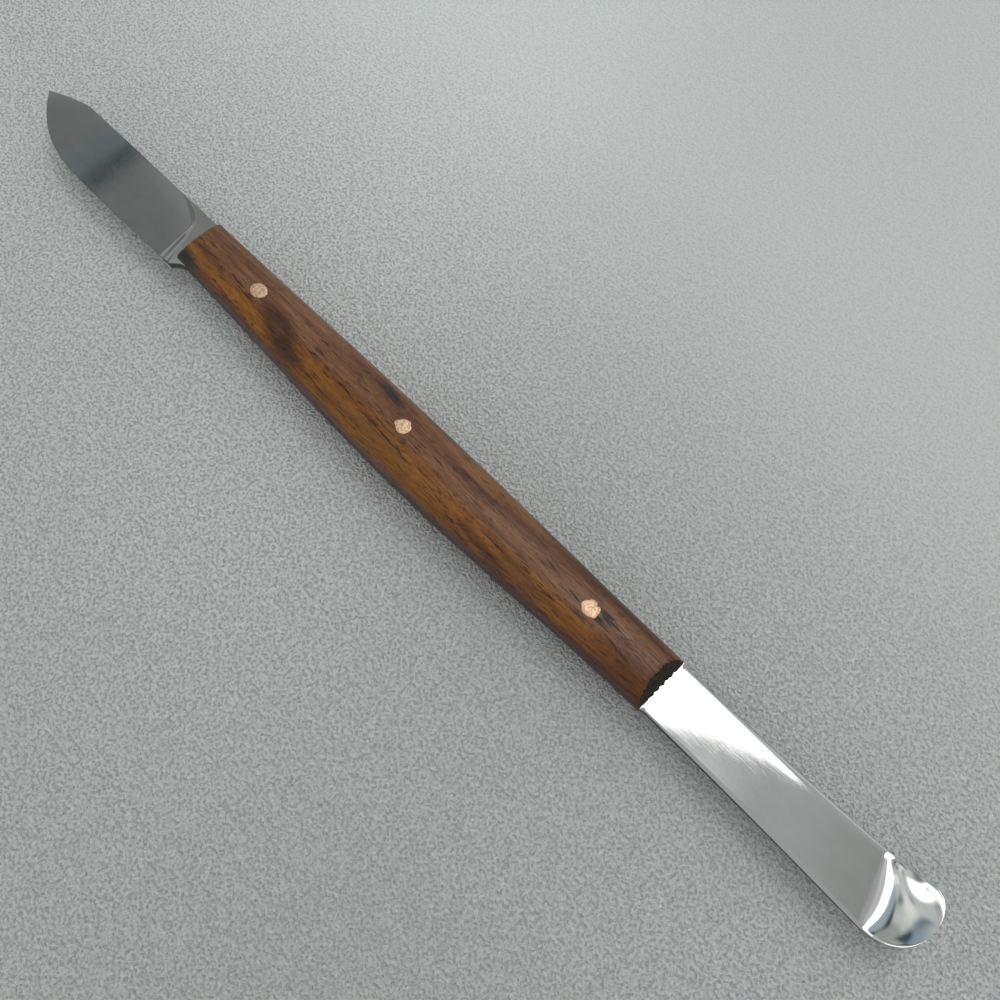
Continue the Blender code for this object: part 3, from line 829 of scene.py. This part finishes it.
def add_room():
    """A room's even light with a lamp overhead and the soft shapes that the polished steel mirrors."""
    world = bpy.data.worlds.new("room")
    bpy.context.scene.world = world
    world.use_nodes = True
    graph = Graph(world.node_tree)
    towards = graph.split(graph.node("ShaderNodeTexCoord").outputs["Generated"])
    up = graph.math("MAXIMUM", towards[2], HORIZON_UP)
    x, y = (graph.math("DIVIDE", towards[axis], up) for axis in (0, 1))
    flat = graph.node("ShaderNodeCombineXYZ", {0: x, 1: y}).outputs[0]
    light = ROOM_LIGHT
    for _, centre, half_sizes, turn, core, colour in ROOM_SHAPES:
        shape = graph.patch(flat, (*centre, 0), (*half_sizes, 1), math.radians(turn), core)
        light = graph.mix(shape, light, colour)

    bow = graph.math("POWER", graph.math("SUBTRACT", y, LAMP_BOW_AT), 2.0)
    bow = graph.math("MINIMUM", graph.math("MULTIPLY", bow, LAMP_BOW), LAMP_BOW_MOST)
    past_left = graph.math("ADD", graph.math("SUBTRACT", x, LAMP_LEFT), bow)
    right = graph.fade(y, LAMP_RIGHT_FROM, LAMP_RIGHT_TO, LAMP_RIGHT, LAMP_RIGHT + LAMP_RIGHT_GROWTH)
    before_right = graph.math("SUBTRACT", right, x)
    soft = graph.fade(y, LAMP_RIGHT_FROM, LAMP_RIGHT_TO, *LAMP_RIGHT_SOFT)
    slant = graph.math("MULTIPLY", graph.math("MAXIMUM", x, 0.0), LAMP_FAR_SLANT)
    before_far = graph.math("SUBTRACT", LAMP_FAR, graph.math("ADD", y, slant))
    lamp = graph.fade(past_left, -LAMP_LEFT_SOFT, LAMP_LEFT_SOFT)
    inside = graph.fade(before_right, graph.math("MULTIPLY", soft, -1.0), soft)
    lamp = graph.math("MULTIPLY", lamp, inside)
    inside = graph.fade(y, LAMP_NEAR - LAMP_NEAR_SOFT, LAMP_NEAR + LAMP_NEAR_SOFT)
    lamp = graph.math("MULTIPLY", lamp, inside)
    lamp = graph.math("MULTIPLY", lamp, graph.fade(before_far, -LAMP_FAR_SOFT, LAMP_FAR_SOFT))
    light = graph.mix(lamp, light, LAMP_LIGHT)
    graph.feed(world.node_tree.nodes["Background"].inputs["Color"], light)


CAMERA_AT = Vector((0.05327, -0.03292, 0.12812))
CAMERA_TARGET = Vector((0.0141, 0.0051, 0.0))
CAMERA_LENS = CAMERA_SENSOR = 36.0  # millimetres


def add_camera():
    data = bpy.data.cameras.new("camera")
    data.lens = CAMERA_LENS
    data.sensor_width = CAMERA_SENSOR
    data.clip_start = 0.005
    data.clip_end = 10.0
    camera = bpy.data.objects.new("camera", data)
    camera.location = CAMERA_AT
    camera.rotation_euler = (CAMERA_TARGET - CAMERA_AT).to_track_quat("-Z", "Y").to_euler()
    bpy.context.scene.collection.objects.link(camera)
    bpy.context.scene.camera = camera


# ---------------------------------------------------------------- the scene

steel = steel_material()
wood, end_grain_and_shade = wood_material(), end_grain_material()
copper = copper_material()

strip = lofted("steel_strip", [steel_section(s) for s in steel_stations()])
add_piece("steel_strip", strip, "steel_blade_and_spatula", [steel])

upper = scale_mesh("upper_wood", 0.0)
add_piece("upper_wood", upper, "upper_scale", [wood, end_grain_and_shade])
lower = scale_mesh("lower_wood", LOWER_SCALE_SEED)
lower.transform(Matrix.Translation((0, 0, 2 * AXIS_Z)) @ Matrix.Diagonal((1, 1, -1, 1)))
lower.flip_normals()
add_piece("lower_wood", lower, "lower_scale", [wood, end_grain_and_shade])

for node, head in RIVET_HEADS.items():
    low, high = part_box(node)
    mesh = rivet_mesh("copper_" + node, (low.x + high.x) / 2 - TIP_X, head)
    add_piece("copper_" + node, mesh, node, [copper])

add_floor()
add_room()
add_camera()
bpy.context.scene.view_settings.view_transform = "Standard"
